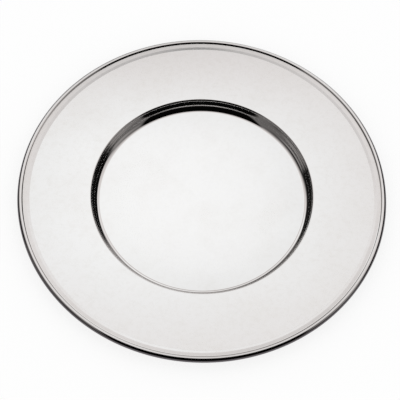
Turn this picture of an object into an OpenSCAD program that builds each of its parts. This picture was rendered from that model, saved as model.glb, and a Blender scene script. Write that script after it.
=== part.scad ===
// Round charger plate: a flat floor in a steep-walled well, a broad flat rim, a raised
// verge, and an edge rolled round a ring of wire.
// Sizes are millimetres. The plate stands on z = 0 and its axis is z, so one half section,
// turned about that axis, gives every form.
//
// The half section is the middle line of the sheet, written as stations. A station is a
// point [radius, height] and the heading of the line there: 0 runs level and outward,
// 90 straight up. Both faces of the sheet lie half its thickness off that line, so the
// sheet keeps one thickness through every bend.

/* [Plate] */
// Diameter over the rolled edge
plate_dia = 310; // [280:1:360]
// Thickness of the sheet
sheet_t = 1; // [0.7:0.1:1.3]

/* [Well] */
// Diameter of the flat floor, up to where it starts to bend
floor_dia = 172; // [140:1:200]
// Depth of the floor below the flat of the rim
well_depth = 9; // [7.5:0.5:20]
// Steepness of the wall, from level
wall_angle = 80; // [60:1:85]
// Radius of the bend from the floor into the wall, on the upper face
floor_bend_r = 6; // [3:0.5:7.5]
// Radius of the bend from the wall into the rim, on the upper face
mouth_bend_r = 1.8; // [1.5:0.1:2.5]

/* [Border] */
// Width of the raised border, from the flat of the rim to the outside of the plate
border_w = 10.3; // [9:0.1:25]
// Steepness of the strip at which the border starts, from level
strip_angle = 14; // [8:1:24]
// Width of that strip, measured along it
strip_w = 2; // [0.5:0.1:3]
// Radius of the crease from the flat of the rim into the strip, on the upper face
crease_r = 0.8; // [0.5:0.1:5]
// Steepness of the verge beyond the strip, from level
verge_angle = 11; // [6:1:20]
// Radius of the bend from the strip into the verge, on the upper face
verge_bend_r = 11; // [1:0.5:16]
// Radius of the bend from the verge up to the rolled edge, on the upper face
neck_bend_r = 3.2; // [1:0.1:6]
// Steepness at which the sheet leaves that bend and climbs over the wire, from level
neck_angle = 31.5; // [24:0.5:60]

/* [Rolled edge] */
// Diameter of the wire
wire_dia = 3.3; // [2:0.1:4]
// Clearance between the wire and the sheet rolled round it
wire_clearance = 0.05; // [0.02:0.01:0.1]
// Gap between the sheet's cut edge, at the end of the roll, and the verge's underside
roll_end_gap = 0.3; // [0.2:0.1:0.8]
// Gap between the two ends of the wire
wire_end_gap = 1; // [0.5:0.1:4]

/* [Hidden] */

// Facets in a full turn about the plate's axis
turn_facets = 240;
// Facets round the wire
wire_facets = 48;
// Most that the heading changes from one station of a bend to the next
bend_step = 7.5;

half_t = sheet_t / 2;
plate_r = plate_dia / 2;

// Radii of the sheet's middle line in its bends
floor_bend_mid_r = floor_bend_r + half_t;
mouth_bend_mid_r = mouth_bend_r - half_t;
crease_mid_r = crease_r + half_t;
neck_bend_mid_r = neck_bend_r + half_t;
roll_mid_r = wire_dia / 2 + wire_clearance + half_t;
roll_r = roll_mid_r + half_t;

// Unit vector along a heading
function along(heading) = [cos(heading), sin(heading)];

// Unit vector square to a heading, towards the upper face
function upward(heading) = [-sin(heading), cos(heading)];

// Stations of a bend about a centre. A bend that turns upward has a positive radius,
// and one that turns downward a negative radius.
function bend(centre, r, from, to) =
    let (steps = ceil(abs(to - from) / bend_step))
    [for (i = [0:steps])
        let (heading = from + (to - from) * i / steps)
        [centre - r * upward(heading), heading]];

// A list without its first entry, for a bend that goes on from the end of the one before
function past_first(list) = [for (i = [1:len(list) - 1]) list[i]];

// The verge lies flatter than the strip or steeper, so the bend between them turns down or
// up. Its radius on the middle line has the sign that a bend's stations ask for.
verge_turn = verge_angle < strip_angle ? -1 : 1;
verge_bend_mid_r = verge_turn * verge_bend_r + half_t;

// Heights of the middle line on the floor and on the flat of the rim
floor_z = half_t;
rim_z = floor_z + well_depth;

// The well: the floor's bend starts at the edge of the flat floor, and the straight wall
// is as long as the depth leaves it
floor_bend_centre = [floor_dia / 2, floor_z + floor_bend_mid_r];
wall_foot = floor_bend_centre - floor_bend_mid_r * upward(wall_angle);
bends_rise = (floor_bend_mid_r + mouth_bend_mid_r) * (1 - cos(wall_angle));
wall_len = (well_depth - bends_rise) / sin(wall_angle);
wall_head = wall_foot + wall_len * along(wall_angle);
mouth_bend_centre = wall_head - mouth_bend_mid_r * upward(wall_angle);

// The strip starts where the flat of the rim ends, and the verge at the strip's head
crease_centre = [plate_r - border_w, rim_z + crease_mid_r];
strip_foot = crease_centre - crease_mid_r * upward(strip_angle);
strip_head = strip_foot + strip_w * along(strip_angle);
verge_bend_centre = strip_head + verge_bend_mid_r * upward(strip_angle);
verge_foot = verge_bend_centre - verge_bend_mid_r * upward(verge_angle);

// The neck's bend touches the roll, so its centre lies this far from the wire's centre.
// From there also comes the verge's outer end.
neck_dist = roll_mid_r + neck_bend_mid_r;
neck_offset = neck_dist * upward(neck_angle);
verge_head_offset = neck_offset - neck_bend_mid_r * upward(verge_angle);

// The wire's centre lies one roll radius inside the plate's outside, at the height that
// the straight verge reaches
wire_ring_r = plate_r - roll_r;
verge_run = wire_ring_r + verge_head_offset.x - verge_foot.x;
wire_z = verge_foot.y + verge_run * tan(verge_angle) - verge_head_offset.y;
wire_centre = [wire_ring_r, wire_z];
neck_bend_centre = wire_centre + neck_offset;

// The roll turns on until its cut edge is one gap short of the verge's underside. Both
// heights are taken from the wire's centre, square to the verge.
verge_line_height = neck_dist * cos(neck_angle - verge_angle) - neck_bend_mid_r;
cut_edge_height = verge_line_height - half_t - roll_end_gap;
unrolled_angle = acos(cut_edge_height / roll_r);
roll_end_heading = verge_angle - 360 + unrolled_angle;

// The heading at which the roll reaches the plate's outside
outermost_heading = -90;

// Middle line of the sheet, from the axis to its cut edge inside the roll
sheet_line = concat(
    [[[0, floor_z], 0]],
    bend(floor_bend_centre, floor_bend_mid_r, 0, wall_angle),
    bend(mouth_bend_centre, -mouth_bend_mid_r, wall_angle, 0),
    bend(crease_centre, crease_mid_r, 0, strip_angle),
    bend(verge_bend_centre, verge_bend_mid_r, strip_angle, verge_angle),
    bend(neck_bend_centre, neck_bend_mid_r, verge_angle, neck_angle),
    past_first(bend(wire_centre, -roll_mid_r, neck_angle, outermost_heading)),
    past_first(bend(wire_centre, -roll_mid_r, outermost_heading, roll_end_heading)));

// One face of the sheet: side is 1 for the upper face and -1 for the lower face
function face(side) = [for (station = sheet_line) station[0] + side * half_t * upward(station[1])];

// Points of a list from the last to the first
function reversed(points) = [for (i = [len(points) - 1:-1:0]) points[i]];

// The pressed sheet: floor, wall, rim, strip, verge, neck and roll in one thickness
module plate_body() {
    color("gainsboro")
        rotate_extrude($fn = turn_facets)
            polygon(concat(face(1), reversed(face(-1))));
}

// The ring of round wire inside the roll. Its two ends meet short of each other at +Y.
module edge_wire() {
    end_gap_angle = 2 * asin(wire_end_gap / 2 / wire_ring_r);
    color("slategray")
        rotate([0, 0, 90 + end_gap_angle / 2])
            rotate_extrude(angle = 360 - end_gap_angle, $fn = turn_facets)
                translate(wire_centre)
                    circle(d = wire_dia, $fn = wire_facets);
}

plate_body();
edge_wire();
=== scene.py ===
"""A polished charger plate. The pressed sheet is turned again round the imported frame, finer than
the frame's own mesh, and is finished as polished silver metal that mirrors a studio of large cards.

Lengths of the plate are in millimetres up to the point where a mesh or a material is made. The
scene is in metres."""

import math
from types import SimpleNamespace

import bpy
from mathutils import Matrix, Vector


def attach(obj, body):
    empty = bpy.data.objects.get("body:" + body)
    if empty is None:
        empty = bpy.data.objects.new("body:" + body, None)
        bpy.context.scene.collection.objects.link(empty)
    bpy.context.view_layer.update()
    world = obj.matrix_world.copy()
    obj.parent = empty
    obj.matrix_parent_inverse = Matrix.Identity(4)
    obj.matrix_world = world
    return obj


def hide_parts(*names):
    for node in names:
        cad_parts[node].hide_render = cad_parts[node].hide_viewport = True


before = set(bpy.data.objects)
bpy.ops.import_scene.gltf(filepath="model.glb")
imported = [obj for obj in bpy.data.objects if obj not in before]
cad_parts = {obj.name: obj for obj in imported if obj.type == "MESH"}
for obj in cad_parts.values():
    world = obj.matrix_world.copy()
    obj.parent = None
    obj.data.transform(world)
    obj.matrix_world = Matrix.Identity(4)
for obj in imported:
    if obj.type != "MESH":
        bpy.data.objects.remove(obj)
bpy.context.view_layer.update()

MM = 0.001

# Sizes of the plate, the same as in the part's source
PLATE_DIA = 310.0
SHEET_T = 1.0
FLOOR_DIA = 172.0
WELL_DEPTH = 9.0
WALL_ANGLE = 80.0
FLOOR_BEND_R = 6.0
MOUTH_BEND_R = 1.8
BORDER_W = 10.3
STRIP_ANGLE = 14.0
STRIP_W = 2.0
CREASE_R = 0.8
VERGE_ANGLE = 11.0
VERGE_BEND_R = 11.0
NECK_BEND_R = 3.2
NECK_ANGLE = 31.5
WIRE_DIA = 3.3
WIRE_CLEARANCE = 0.05
ROLL_END_GAP = 0.3

# Heading of the sheet where it reaches the plate's outside
OUTERMOST = -90.0

# Fineness of the turned sheet: facets round, degrees a step in a bend, and how wide a ring may be
# on the flats and on the slopes
TURN_SEGMENTS = 360
BEND_STEP = 5.0
FLAT_RING = 12.0
SLOPE_RING = 3.0

# Mesh attribute that is 1 on the lower face of the sheet
UNDERSIDE = "underside"

# Camera, fitted to the outline of the plate in the photograph. Its distance is in metres.
CAMERA_ELEVATION = 60.775
CAMERA_DISTANCE = 1.703
CAMERA_ROLL = 1.97
AIM = (-1.496 * MM, -5.438 * MM, 9.216 * MM)
PIXELS_PER_MM = 1.1913
PHOTO_WIDTH = 400
SENSOR = 36.0

# Colours of the metal
SILVER = (0.945, 0.944, 0.942, 1)
TARNISH = (0.70, 0.66, 0.60, 1)
# Painted dark reflection: near black laid into the colour of the roll's outside, standing in for
# the dark floor that it mirrors
PAINTED_DARK_REFLECTION = (0.120, 0.108, 0.115, 1)

# Heights between which the painted dark reflection comes up on the outside of the roll
DARK_REFLECTION_TOP, DARK_REFLECTION_FULL = 11.7, 11.1

# Radii between which tarnish comes and goes, in the well's fold and at the neck
FOLD_START, FOLD_MIDDLE, FOLD_END = 84.0, 91.5, 95.5
NECK_START, NECK_MIDDLE, NECK_END = 146.5, 150.5, 153.0

# Share of tarnish under each mark. The specks' share rises between two radii.
FOLD_TARNISH = 0.10
CLOUD_TARNISH = 0.10
UNDERSIDE_TARNISH = 0.35
SPECK_TARNISH_LOW, SPECK_TARNISH_HIGH = 0.04, 0.12
FLOOR_SPECKLED, RIM_SPECKLED = 60.0, 100.0

# Haze of wear: the share that is matte, the normal's Z at which it starts and is full, what clouds
# make of it, and the radii that it spares before the well's wall
WEAR = 0.24
WEAR_STEEP, WEAR_FLAT = 0.93, 0.975
WEAR_CLEAR, WEAR_CLOUDED = 0.92, 1.12
SPARED_START, SPARED_FULL, SPARED_END = 62.0, 79.0, 94.0

# Ring marks of the buffing wheel, fine and broad: width, and the arc in radians over which they
# fade
RINGS = (0.45, 0.9)
BROAD_RINGS = (3.2, 1.6)

# Scratches: angle to +X in degrees, width, length and rarity
SCRATCHES = ((24, 0.22, 26, 0.66), (-51, 0.18, 19, 0.67), (83, 0.2, 32, 0.68))
SCRATCH_EDGE = 0.08

# Patches: scale, detail and roughness of the noise, and the levels where a patch starts and is full
CLOUDS = (24, 4.0, 0.62, 0.42, 0.72)
SPECKS = (260, 3.0, 0.65, 0.45, 0.70)

# Roughness of the polish: noise levels of the ring marks and the roughness at each, and what the
# other marks add
RING_LEVELS, RING_ROUGH = (0.3, 0.7), (0.018, 0.030)
BROAD_RING_LEVELS, BROAD_RING_ROUGH = (0.35, 0.7), (0.0, 0.006)
WORN_ROUGH = 0.026
CLOUD_ROUGH = 0.018
SCRATCH_ROUGH = 0.035
UNDERSIDE_ROUGH = 0.14

# Relief of the polish: height of a fine ring mark, and the other marks as shares of it
RELIEF = 0.0004
BROAD_RING_RELIEF = 1.6
SCRATCH_RELIEF = -1.2

# Drawn steel of the wire: marks of the die as ring marks, and spots of oxide as patches
STEEL = (0.5, 0.5, 0.5, 1)
OXIDE = (0.27, 0.24, 0.21, 1)
OXIDE_SHARE = 0.6
OXIDE_SPOTS = (420, 3.0, 0.6, 0.5, 0.75)
OXIDE_ROUGH = 0.2
DIE_MARKS = (0.12, 0.5)
DIE_LEVELS, DIE_ROUGH = (0.3, 0.7), (0.24, 0.40)
DIE_RELIEF = 0.004

# Floor: side in metres, colour, and the share of plain white that the camera and mirrors see in it
FLOOR_SIDE = 40.0
FLOOR_WHITE = 0.96
FLOOR_LIFT = 0.75

# Room as the metal mirrors it: its grey below and above the horizon, and the soft step between them
GROUND = 0.200
WALL_LOW = 0.114
WALL_HIGH = 0.162
HORIZON_SOFT = 0.05

# Warm tint of what is darker than white in the room
TINT = (1.0, 0.945, 0.93, 1)
TINT_FULL, TINT_NONE = 0.68, 0.90

# Cards in the room. Each has a name, the azimuth and elevation of its centre, half its width and
# height in degrees, the softness of its sides and of its two ends, and how bright it is at its foot
# and head.
CARDS = (
    ("far_low", 19.1, 11.4, 29.7, 8.0, 0.55, 0.05, 0.528, 0.100),
    ("far_left", -38.6, 44.1, 54.6, 14.6, 0.85, 0.57, 1.000, 1.000),
    ("far_panel", -8.9, 63.8, 54.0, 25.5, 0.40, 0.74, 0.988, 0.416),
    ("core", -4.6, 56.6, 9.4, 10.7, 0.53, 0.74, 0.021, 0.955),
    ("left_flag", -59.7, -27.0, 28.1, 64.2, 0.22, 1.50, 0.001, 0.016),
    ("right_flag", 65.4, -22.9, 35.8, 64.9, 0.22, 0.15, 0.015, 0.000),
    ("left_side", -82.5, 40.5, 20.8, 20.6, 0.55, 0.83, 0.000, 0.000),
    ("right_side", 100.5, 50.1, 10.2, 18.7, 0.27, 1.43, 0.424, 0.000),
    ("near_flag", 174.8, 24.3, 41.5, 71.1, 0.16, 0.05, 0.004, 0.000),
    ("near_low", 172.6, -19.5, 82.0, 26.8, 0.07, 0.10, 1.000, 0.272),
    ("glow", -1.8, 60.5, 4.6, 3.0, 0.15, 0.08, 0.970, 0.970),
)
CARD_SOCKETS = (
    ("Behind", "NodeSocketColor"),
    ("Direction", "NodeSocketVector"),
    ("Facing", "NodeSocketVector"),
    ("Right", "NodeSocketVector"),
    ("Up", "NodeSocketVector"),
    ("Half width", "NodeSocketFloat"),
    ("Half height", "NodeSocketFloat"),
    ("Side softness", "NodeSocketFloat"),
    ("End softness", "NodeSocketFloat"),
    ("Bottom", "NodeSocketColor"),
    ("Top", "NodeSocketColor"),
)

# Cosine to a card's centre under which a direction misses the card
CARD_REACH = 0.02


def along(heading):
    """Unit vector along a heading of the half section, in radius and height."""
    a = math.radians(heading)
    return Vector((math.cos(a), math.sin(a)))


def upward(heading):
    """Unit vector square to a heading, towards the upper face."""
    a = math.radians(heading)
    return Vector((-math.sin(a), math.cos(a)))


def bend(centre, radius, start, end):
    """Stations (point, heading) of a bend about a centre. A turn down has a negative radius."""
    steps = math.ceil(abs(end - start) / BEND_STEP)
    headings = [start + (end - start) * i / steps for i in range(steps + 1)]
    return [(centre - radius * upward(h), h) for h in headings]


def run(a, b, heading, length):
    """Stations between two points of a straight run, no further apart than a length."""
    steps = math.ceil((b - a).length / length)
    return [(a.lerp(b, i / steps), heading) for i in range(1, steps)]


def sheet_line():
    """Middle line of the sheet as stations, from near the axis to its cut edge inside the roll."""
    half_t = SHEET_T / 2
    plate_r = PLATE_DIA / 2
    floor_mid_r = FLOOR_BEND_R + half_t
    mouth_mid_r = MOUTH_BEND_R - half_t
    crease_mid_r = CREASE_R + half_t
    verge_mid_r = half_t - VERGE_BEND_R
    neck_mid_r = NECK_BEND_R + half_t
    roll_mid_r = WIRE_DIA / 2 + WIRE_CLEARANCE + half_t
    roll_r = roll_mid_r + half_t

    floor_centre = Vector((FLOOR_DIA / 2, half_t + floor_mid_r))
    foot = floor_centre - floor_mid_r * upward(WALL_ANGLE)
    rise = (floor_mid_r + mouth_mid_r) * (1 - math.cos(math.radians(WALL_ANGLE)))
    head = foot + (WELL_DEPTH - rise) / math.sin(math.radians(WALL_ANGLE)) * along(WALL_ANGLE)
    mouth_centre = head - mouth_mid_r * upward(WALL_ANGLE)

    crease_centre = Vector((plate_r - BORDER_W, half_t + WELL_DEPTH + crease_mid_r))
    strip_foot = crease_centre - crease_mid_r * upward(STRIP_ANGLE)
    strip_head = strip_foot + STRIP_W * along(STRIP_ANGLE)
    verge_centre = strip_head + verge_mid_r * upward(STRIP_ANGLE)
    verge_foot = verge_centre - verge_mid_r * upward(VERGE_ANGLE)

    # The wire's height follows from the verge, which meets the neck on one straight run
    neck_dist = roll_mid_r + neck_mid_r
    neck_offset = neck_dist * upward(NECK_ANGLE)
    head_offset = neck_offset - neck_mid_r * upward(VERGE_ANGLE)
    ring_r = plate_r - roll_r
    verge_run = ring_r + head_offset.x - verge_foot.x
    verge_head_z = verge_foot.y + verge_run * math.tan(math.radians(VERGE_ANGLE))
    wire_centre = Vector((ring_r, verge_head_z - head_offset.y))
    neck_centre = wire_centre + neck_offset

    # The roll ends where its outer face comes within a gap of the verge's underside
    verge_height = neck_dist * math.cos(math.radians(NECK_ANGLE - VERGE_ANGLE)) - neck_mid_r
    cut_height = verge_height - half_t - ROLL_END_GAP
    unrolled = math.degrees(math.acos(cut_height / roll_r))

    floor_bend = bend(floor_centre, floor_mid_r, 0, WALL_ANGLE)
    mouth_bend = bend(mouth_centre, -mouth_mid_r, WALL_ANGLE, 0)
    crease = bend(crease_centre, crease_mid_r, 0, STRIP_ANGLE)
    verge_bend = bend(verge_centre, verge_mid_r, STRIP_ANGLE, VERGE_ANGLE)
    neck_bend = bend(neck_centre, neck_mid_r, VERGE_ANGLE, NECK_ANGLE)
    roll_bend = bend(wire_centre, -roll_mid_r, NECK_ANGLE, OUTERMOST)
    tuck_bend = bend(wire_centre, -roll_mid_r, OUTERMOST, VERGE_ANGLE - 360 + unrolled)
    first_ring = (Vector((FLAT_RING, half_t)), 0)
    return (
        [first_ring]
        + run(first_ring[0], floor_bend[0][0], 0, FLAT_RING)
        + floor_bend
        + run(floor_bend[-1][0], mouth_bend[0][0], WALL_ANGLE, SLOPE_RING)
        + mouth_bend
        + run(mouth_bend[-1][0], crease[0][0], 0, FLAT_RING)
        + crease
        + run(strip_foot, strip_head, STRIP_ANGLE, SLOPE_RING)
        + verge_bend
        + run(verge_bend[-1][0], neck_bend[0][0], VERGE_ANGLE, SLOPE_RING)
        + neck_bend
        + roll_bend[1:]
        + tuck_bend[1:]
    )


def add_object(name, data):
    """New object in the scene."""
    new = bpy.data.objects.new(name, data)
    bpy.context.scene.collection.objects.link(new)
    return new


def turned_sheet(name, line):
    """Closed mesh of the sheet turned about the z axis, with the true normal at every corner."""
    half_t = SHEET_T / 2
    segments = TURN_SEGMENTS
    upper = [(p + half_t * upward(h), upward(h)) for p, h in line]
    lower = [(p - half_t * upward(h), -upward(h)) for p, h in reversed(line)]
    outline = upper + lower
    cut_edge = len(upper) - 1
    cut_normal = along(line[-1][1])
    turn = [(math.cos(a), math.sin(a)) for a in (math.tau * i / segments for i in range(segments))]

    points = []
    for p, _ in outline:
        points += [(p.x * c * MM, p.x * s * MM, p.y * MM) for c, s in turn]
    top_pole = len(points)
    bottom_pole = top_pole + 1
    points.append((0, 0, outline[0][0].y * MM))
    points.append((0, 0, outline[-1][0].y * MM))

    faces, normals = [], []

    def corner(row, i, normal=None):
        c, s = turn[i % segments]
        n = normal or outline[row][1]
        normals.append((n.x * c, n.x * s, n.y))
        return row * segments + i % segments

    for row in range(len(outline) - 1):
        flat = cut_normal if row == cut_edge else None
        for i in range(segments):
            faces.append([corner(row, i, flat), corner(row + 1, i, flat),
                          corner(row + 1, i + 1, flat), corner(row, i + 1, flat)])
    last = len(outline) - 1
    for i in range(segments):
        faces.append([corner(0, i), corner(0, i + 1), top_pole])
        normals.append((0, 0, 1))
        faces.append([corner(last, i + 1), corner(last, i), bottom_pole])
        normals.append((0, 0, -1))

    mesh = bpy.data.meshes.new(name)
    mesh.from_pydata(points, [], faces)
    mesh.update()
    mesh.shade_smooth()
    mesh.normals_split_custom_set(normals)
    under = mesh.attributes.new(UNDERSIDE, "FLOAT", "POINT")
    for i in range(len(upper) * segments, len(outline) * segments):
        under.data[i].value = 1.0
    under.data[bottom_pole].value = 1.0
    return add_object(name, mesh)


def add_node(tree, kind, inputs=None, **settings):
    """New shader node. An input is a value, or the output of another node."""
    node = tree.nodes.new(kind)
    for name, value in settings.items():
        setattr(node, name, value)
    for name, value in (inputs or {}).items():
        if isinstance(value, bpy.types.NodeSocket):
            tree.links.new(value, node.inputs[name])
        else:
            node.inputs[name].default_value = value
    return node


def maths(tree, operation, *values, clamp=False):
    """Output of a sum with one, two or three numbers."""
    inputs = dict(enumerate(values))
    return add_node(tree, "ShaderNodeMath", inputs, operation=operation, use_clamp=clamp).outputs[0]


def vectors(tree, operation, *values, output="Vector"):
    """Output of a sum with vectors."""
    inputs = dict(enumerate(values))
    return add_node(tree, "ShaderNodeVectorMath", inputs, operation=operation).outputs[output]


def remap(tree, value, low, high, to_low, to_high, kind="LINEAR"):
    """A number carried from one range to another, and kept within it."""
    inputs = {
        "Value": value, "From Min": low, "From Max": high, "To Min": to_low, "To Max": to_high,
    }
    return add_node(tree, "ShaderNodeMapRange", inputs, interpolation_type=kind).outputs["Result"]


def smooth_step(tree, value, start, end):
    """From 0 at one value to 1 at another, level at both."""
    return remap(tree, value, start, end, 0.0, 1.0, "SMOOTHSTEP")


def noise(tree, vector, scale, detail=2.0, roughness=0.5):
    """Smooth noise from 0 to 1."""
    inputs = {"Vector": vector, "Scale": scale, "Detail": detail, "Roughness": roughness}
    return add_node(tree, "ShaderNodeTexNoise", inputs).outputs["Fac"]


def blend(tree, share, first, second):
    """Colour between two colours. These are the Mix node's sockets for colours."""
    inputs = {0: share, 6: first, 7: second}
    return add_node(tree, "ShaderNodeMix", inputs, data_type="RGBA").outputs[2]


def height_of(tree, vector):
    """Z of a vector."""
    return add_node(tree, "ShaderNodeSeparateXYZ", {"Vector": vector}).outputs["Z"]


def new_material(name):
    """Material with a plain shader, its node tree and that shader."""
    material = bpy.data.materials.new(name)
    material.use_nodes = True
    return material, material.node_tree, material.node_tree.nodes["Principled BSDF"]


def place_on_plate(tree):
    """Position, radius from the axis, height, way along the section, and the direction outward."""
    position = add_node(tree, "ShaderNodeTexCoord").outputs["Object"]
    flat = vectors(tree, "MULTIPLY", position, (1, 1, 0))
    radius = vectors(tree, "LENGTH", flat, output="Value")
    height = height_of(tree, position)
    way = maths(tree, "ADD", radius, height)
    outward = vectors(tree, "NORMALIZE", flat)
    return SimpleNamespace(
        position=position, radius=radius, height=height, way=way, outward=outward
    )


def ring_marks(tree, place, width, arc):
    """Noise in rings round the axis, of a width, each fading over an arc in radians."""
    across = maths(tree, "DIVIDE", place.way, width * MM)
    turned = vectors(tree, "MULTIPLY", place.outward, (1 / arc, 1 / arc, 0))
    parts = add_node(tree, "ShaderNodeSeparateXYZ", {"Vector": turned})
    inputs = {"X": parts.outputs["X"], "Y": parts.outputs["Y"], "Z": across}
    lines = add_node(tree, "ShaderNodeCombineXYZ", inputs).outputs["Vector"]
    return noise(tree, lines, 1.0)


def scratches(tree, place, angle, width, length, rarity):
    """Sparse fine lines that run at an angle to +X, from 0 to 1."""
    along_scale, across_scale = 1 / (length * MM), 1 / (width * MM)
    inputs = {
        "Vector": place.position,
        "Rotation": (0, 0, math.radians(angle)),
        "Scale": (along_scale, across_scale, along_scale),
    }
    turned = add_node(tree, "ShaderNodeMapping", inputs).outputs["Vector"]
    lines = noise(tree, turned, 1.0, detail=1.0)
    return remap(tree, lines, rarity, rarity + SCRATCH_EDGE, 0.0, 1.0)


def patches(tree, place, scale, detail, roughness, start, full, kind="LINEAR"):
    """Patches of noise, from 0 to 1."""
    spread = noise(tree, place.position, scale, detail, roughness)
    return remap(tree, spread, start, full, 0.0, 1.0, kind)


def ring_between(tree, place, start, middle, end):
    """From 0 at one radius to 1 at the next, and back to 0 at the last."""
    coming = smooth_step(tree, place.radius, start * MM, middle * MM)
    going = remap(tree, place.radius, middle * MM, end * MM, 1.0, 0.0, "SMOOTHSTEP")
    return maths(tree, "MULTIPLY", coming, going)


def metal_colour(tree, place, clouds, underside):
    """Silver with tarnish in patches and folds, and with a painted dark reflection on the outside
    of the roll.
    """
    in_fold = ring_between(tree, place, FOLD_START, FOLD_MIDDLE, FOLD_END)
    in_neck = ring_between(tree, place, NECK_START, NECK_MIDDLE, NECK_END)
    tarnish = maths(tree, "MULTIPLY", maths(tree, "MAXIMUM", in_fold, in_neck), FOLD_TARNISH)
    tarnish = maths(tree, "MULTIPLY_ADD", clouds, CLOUD_TARNISH, tarnish)
    speckled = remap(tree, place.radius, FLOOR_SPECKLED * MM, RIM_SPECKLED * MM,
                     SPECK_TARNISH_LOW, SPECK_TARNISH_HIGH, "SMOOTHSTEP")
    specks = patches(tree, place, *SPECKS)
    tarnish = maths(tree, "MULTIPLY_ADD", specks, speckled, tarnish)
    tarnish = maths(tree, "MULTIPLY_ADD", underside, UNDERSIDE_TARNISH, tarnish, clamp=True)
    colour = blend(tree, tarnish, SILVER, TARNISH)

    # Painted dark reflection: the upper face of the roll, from below its crown outward, is darkened
    # towards near black
    upper_face = maths(tree, "SUBTRACT", 1.0, underside)
    on_roll = maths(tree, "GREATER_THAN", place.radius, NECK_END * MM)
    dark_reflection = smooth_step(tree, place.height, DARK_REFLECTION_TOP * MM, DARK_REFLECTION_FULL * MM)
    dark_reflection = maths(tree, "MULTIPLY", dark_reflection, maths(tree, "MULTIPLY", upper_face, on_roll))
    return blend(tree, dark_reflection, colour, PAINTED_DARK_REFLECTION)


def worn_share(tree, place):
    """Where use wears the polish: on all that lies near level, but not before the well's wall or
    from the neck outward."""
    normal = add_node(tree, "ShaderNodeTexCoord").outputs["Normal"]
    near_level = smooth_step(tree, height_of(tree, normal), WEAR_STEEP, WEAR_FLAT)
    before_wall = maths(tree, "MULTIPLY",
                        smooth_step(tree, place.radius, SPARED_START * MM, SPARED_FULL * MM),
                        maths(tree, "LESS_THAN", place.radius, SPARED_END * MM))
    outside = maths(tree, "GREATER_THAN", place.radius, NECK_MIDDLE * MM)
    spared = maths(tree, "MAXIMUM", before_wall, outside)
    return maths(tree, "MULTIPLY", near_level, maths(tree, "SUBTRACT", 1.0, spared))


def polished_metal():
    """Polished silver metal: ring marks of the buffing wheel, fine scratches, faint clouds and
    specks, a haze of wear, tarnish in the folds and a painted dark reflection on the roll."""
    material, tree, shader = new_material("polished_metal")
    place = place_on_plate(tree)
    rings = ring_marks(tree, place, *RINGS)
    broad_rings = ring_marks(tree, place, *BROAD_RINGS)
    clouds = patches(tree, place, *CLOUDS, kind="SMOOTHSTEP")
    underside = add_node(tree, "ShaderNodeAttribute", attribute_name=UNDERSIDE).outputs["Fac"]
    worn = worn_share(tree, place)
    lines = 0.0
    for scratch in SCRATCHES:
        lines = maths(tree, "ADD", lines, scratches(tree, place, *scratch), clamp=True)
    lines = maths(tree, "MULTIPLY", lines, worn)

    colour = metal_colour(tree, place, clouds, underside)
    tree.links.new(colour, shader.inputs["Base Color"])

    haze = remap(tree, clouds, 0.0, 1.0, WEAR_CLEAR * WEAR, WEAR_CLOUDED * WEAR)
    haze = maths(tree, "MULTIPLY", worn, haze)
    tree.links.new(maths(tree, "SUBTRACT", 1.0, haze), shader.inputs["Metallic"])

    rough = remap(tree, rings, *RING_LEVELS, *RING_ROUGH)
    broad_rough = remap(tree, broad_rings, *BROAD_RING_LEVELS, *BROAD_RING_ROUGH)
    rough = maths(tree, "ADD", rough, broad_rough)
    rough = maths(tree, "MULTIPLY_ADD", worn, WORN_ROUGH, rough)
    worn_clouds = maths(tree, "MULTIPLY", clouds, worn)
    rough = maths(tree, "MULTIPLY_ADD", worn_clouds, CLOUD_ROUGH, rough)
    rough = maths(tree, "MULTIPLY_ADD", lines, SCRATCH_ROUGH, rough)
    rough = maths(tree, "MULTIPLY_ADD", underside, UNDERSIDE_ROUGH, rough)
    tree.links.new(rough, shader.inputs["Roughness"])

    relief = maths(tree, "MULTIPLY_ADD", lines, SCRATCH_RELIEF, rings)
    relief = maths(tree, "MULTIPLY_ADD", broad_rings, BROAD_RING_RELIEF, relief)
    relief = maths(tree, "MULTIPLY", relief, worn)
    add_bump(tree, shader, relief, RELIEF)
    return material


def wire_steel():
    """Drawn steel wire: grey, with marks of the die along it and spots of dull oxide."""
    material, tree, shader = new_material("wire_steel")
    place = place_on_plate(tree)
    die_marks = ring_marks(tree, place, *DIE_MARKS)
    spots = patches(tree, place, *OXIDE_SPOTS)
    colour = blend(tree, maths(tree, "MULTIPLY", spots, OXIDE_SHARE), STEEL, OXIDE)
    tree.links.new(colour, shader.inputs["Base Color"])
    rough = remap(tree, die_marks, *DIE_LEVELS, *DIE_ROUGH)
    rough = maths(tree, "MULTIPLY_ADD", spots, OXIDE_ROUGH, rough)
    tree.links.new(rough, shader.inputs["Roughness"])
    add_bump(tree, shader, die_marks, DIE_RELIEF)
    shader.inputs["Metallic"].default_value = 1.0
    return material


def add_bump(tree, shader, relief, height):
    """Gives a shader a relief of a height."""
    inputs = {"Height": relief, "Strength": 1.0, "Distance": height * MM}
    bump = add_node(tree, "ShaderNodeBump", inputs)
    tree.links.new(bump.outputs["Normal"], shader.inputs["Normal"])


def paint(piece, material):
    """Gives a piece one material."""
    piece.data.materials.clear()
    piece.data.materials.append(material)


def grey(level):
    """Colour of an even grey."""
    return (level, level, level, 1)


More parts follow.
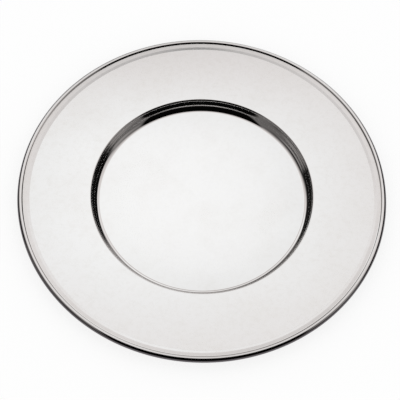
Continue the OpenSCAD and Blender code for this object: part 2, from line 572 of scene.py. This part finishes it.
def add_floor():
    """Level white floor. Its own colour in the room's light shows the plate's soft shadow. For the
    camera, and in what mirrors or lets light through, a share of it is plain white instead."""
    side = FLOOR_SIDE / 2
    corners = [(-side, -side, 0), (side, -side, 0), (side, side, 0), (-side, side, 0)]
    mesh = bpy.data.meshes.new("floor")
    mesh.from_pydata(corners, [], [(0, 1, 2, 3)])
    floor = add_object("floor", mesh)

    material = bpy.data.materials.new("floor")
    material.use_nodes = True
    tree = material.node_tree
    tree.nodes.clear()
    lit = add_node(tree, "ShaderNodeBsdfDiffuse", {"Color": grey(FLOOR_WHITE)})
    white = add_node(tree, "ShaderNodeEmission", {"Color": grey(1.0), "Strength": 1.0})
    path = add_node(tree, "ShaderNodeLightPath").outputs
    seen = maths(tree, "MAXIMUM", path["Is Camera Ray"], path["Is Glossy Ray"])
    seen = maths(tree, "MAXIMUM", seen, path["Is Transmission Ray"])
    share = maths(tree, "MULTIPLY", seen, FLOOR_LIFT)
    inputs = {0: share, 1: lit.outputs[0], 2: white.outputs[0]}
    mixed = add_node(tree, "ShaderNodeMixShader", inputs)
    add_node(tree, "ShaderNodeOutputMaterial", {"Surface": mixed.outputs[0]})
    paint(floor, material)


def add_camera():
    """Camera that frames the plate as the photograph does."""
    elevation = math.radians(CAMERA_ELEVATION)
    back = Vector((0, -math.cos(elevation), math.sin(elevation)))
    data = bpy.data.cameras.new("camera")
    data.sensor_width = SENSOR
    data.lens = PIXELS_PER_MM * CAMERA_DISTANCE / MM * SENSOR / PHOTO_WIDTH
    camera = add_object("camera", data)
    camera.location = Vector(AIM) + CAMERA_DISTANCE * back
    level = (-back).to_track_quat("-Z", "Y").to_matrix().to_4x4()
    roll = Matrix.Rotation(math.radians(CAMERA_ROLL), 4, "Z")
    camera.rotation_mode = "QUATERNION"
    camera.rotation_quaternion = (level @ roll).to_quaternion()
    bpy.context.scene.camera = camera


def card_axes(azimuth, elevation):
    """Unit vectors to a point of the room, to its right and up. Azimuth runs from +Y to +X."""
    az, el = math.radians(azimuth), math.radians(elevation)
    facing = (math.sin(az) * math.cos(el), math.cos(az) * math.cos(el), math.sin(el))
    right = (math.cos(az), -math.sin(az), 0.0)
    up = (-math.sin(az) * math.sin(el), -math.cos(az) * math.sin(el), math.cos(el))
    return facing, right, up


def card_group():
    """Node group that lays one flat card with soft edges over what is behind it, by direction."""
    tree = bpy.data.node_groups.new("studio_card", "ShaderNodeTree")
    for name, kind in CARD_SOCKETS:
        tree.interface.new_socket(name, in_out="INPUT", socket_type=kind)
    tree.interface.new_socket("Room", in_out="OUTPUT", socket_type="NodeSocketColor")
    given = tree.nodes.new("NodeGroupInput").outputs

    def towards(axis):
        return vectors(tree, "DOT_PRODUCT", given["Direction"], given[axis], output="Value")

    def inside(offset, half, softness):
        spare = maths(tree, "SUBTRACT", half, maths(tree, "ABSOLUTE", offset))
        share = maths(tree, "ADD", maths(tree, "DIVIDE", spare, softness), 0.5)
        return smooth_step(tree, share, 0.0, 1.0)

    ahead = towards("Facing")
    depth = maths(tree, "MAXIMUM", ahead, CARD_REACH)
    across = maths(tree, "DIVIDE", towards("Right"), depth)
    rise = maths(tree, "DIVIDE", towards("Up"), depth)
    within_sides = inside(across, given["Half width"], given["Side softness"])
    within_ends = inside(rise, given["Half height"], given["End softness"])
    cover = maths(tree, "MULTIPLY", within_sides, within_ends)
    cover = maths(tree, "MULTIPLY", cover, maths(tree, "GREATER_THAN", ahead, CARD_REACH))

    # From -1 at the card's foot and 1 at its head to a share from 0 to 1
    share = maths(tree, "DIVIDE", rise, given["Half height"])
    share = maths(tree, "MULTIPLY_ADD", share, 0.5, 0.5, clamp=True)
    colour = blend(tree, share, given["Bottom"], given["Top"])
    room = blend(tree, cover, given["Behind"], colour)
    add_node(tree, "NodeGroupOutput", {"Room": room})
    return tree


def mirrored_room(tree):
    """The room by direction, as the metal mirrors it."""
    direction = add_node(tree, "ShaderNodeTexCoord").outputs["Generated"]
    height = height_of(tree, direction)
    high = maths(tree, "MAXIMUM", height, 0.0)
    walls = blend(tree, high, grey(WALL_LOW), grey(WALL_HIGH))
    above = smooth_step(tree, height, -HORIZON_SOFT, HORIZON_SOFT)
    room = blend(tree, above, grey(GROUND), walls)
    group = card_group()
    for _, azimuth, elevation, half_width, half_height, sides, ends, bottom, top in CARDS:
        facing, right, up = card_axes(azimuth, elevation)
        inputs = {
            "Behind": room,
            "Direction": direction,
            "Facing": facing,
            "Right": right,
            "Up": up,
            "Half width": math.tan(math.radians(half_width)),
            "Half height": math.tan(math.radians(half_height)),
            "Side softness": sides,
            "End softness": ends,
            "Bottom": grey(bottom),
            "Top": grey(top),
        }
        room = add_node(tree, "ShaderNodeGroup", inputs, node_tree=group).outputs["Room"]
    level = add_node(tree, "ShaderNodeSeparateColor", {"Color": room}).outputs["Red"]
    whiteness = smooth_step(tree, level, TINT_FULL, TINT_NONE)
    return vectors(tree, "MULTIPLY", room, blend(tree, whiteness, TINT, grey(1.0)))


def add_world():
    """Plain white light for all that isn't metal, and the room of cards for what metal mirrors."""
    world = bpy.data.worlds.new("studio")
    bpy.context.scene.world = world
    world.use_nodes = True
    world.cycles.sampling_method = "NONE"
    tree = world.node_tree
    tree.nodes.clear()
    plain = add_node(tree, "ShaderNodeBackground", {"Color": grey(1.0), "Strength": 1.0})
    inputs = {"Color": mirrored_room(tree), "Strength": 1.0}
    studio = add_node(tree, "ShaderNodeBackground", inputs)
    mirrored = add_node(tree, "ShaderNodeLightPath").outputs["Is Glossy Ray"]
    inputs = {0: mirrored, 1: plain.outputs[0], 2: studio.outputs[0]}
    mixed = add_node(tree, "ShaderNodeMixShader", inputs)
    add_node(tree, "ShaderNodeOutputWorld", {"Surface": mixed.outputs[0]})


sheet = turned_sheet("polished_sheet_body", sheet_line())
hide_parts("plate_body")
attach(sheet, "root")
paint(sheet, polished_metal())
paint(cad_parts["edge_wire"], wire_steel())

add_floor()
add_camera()
add_world()
bpy.context.scene.view_settings.view_transform = "Standard"
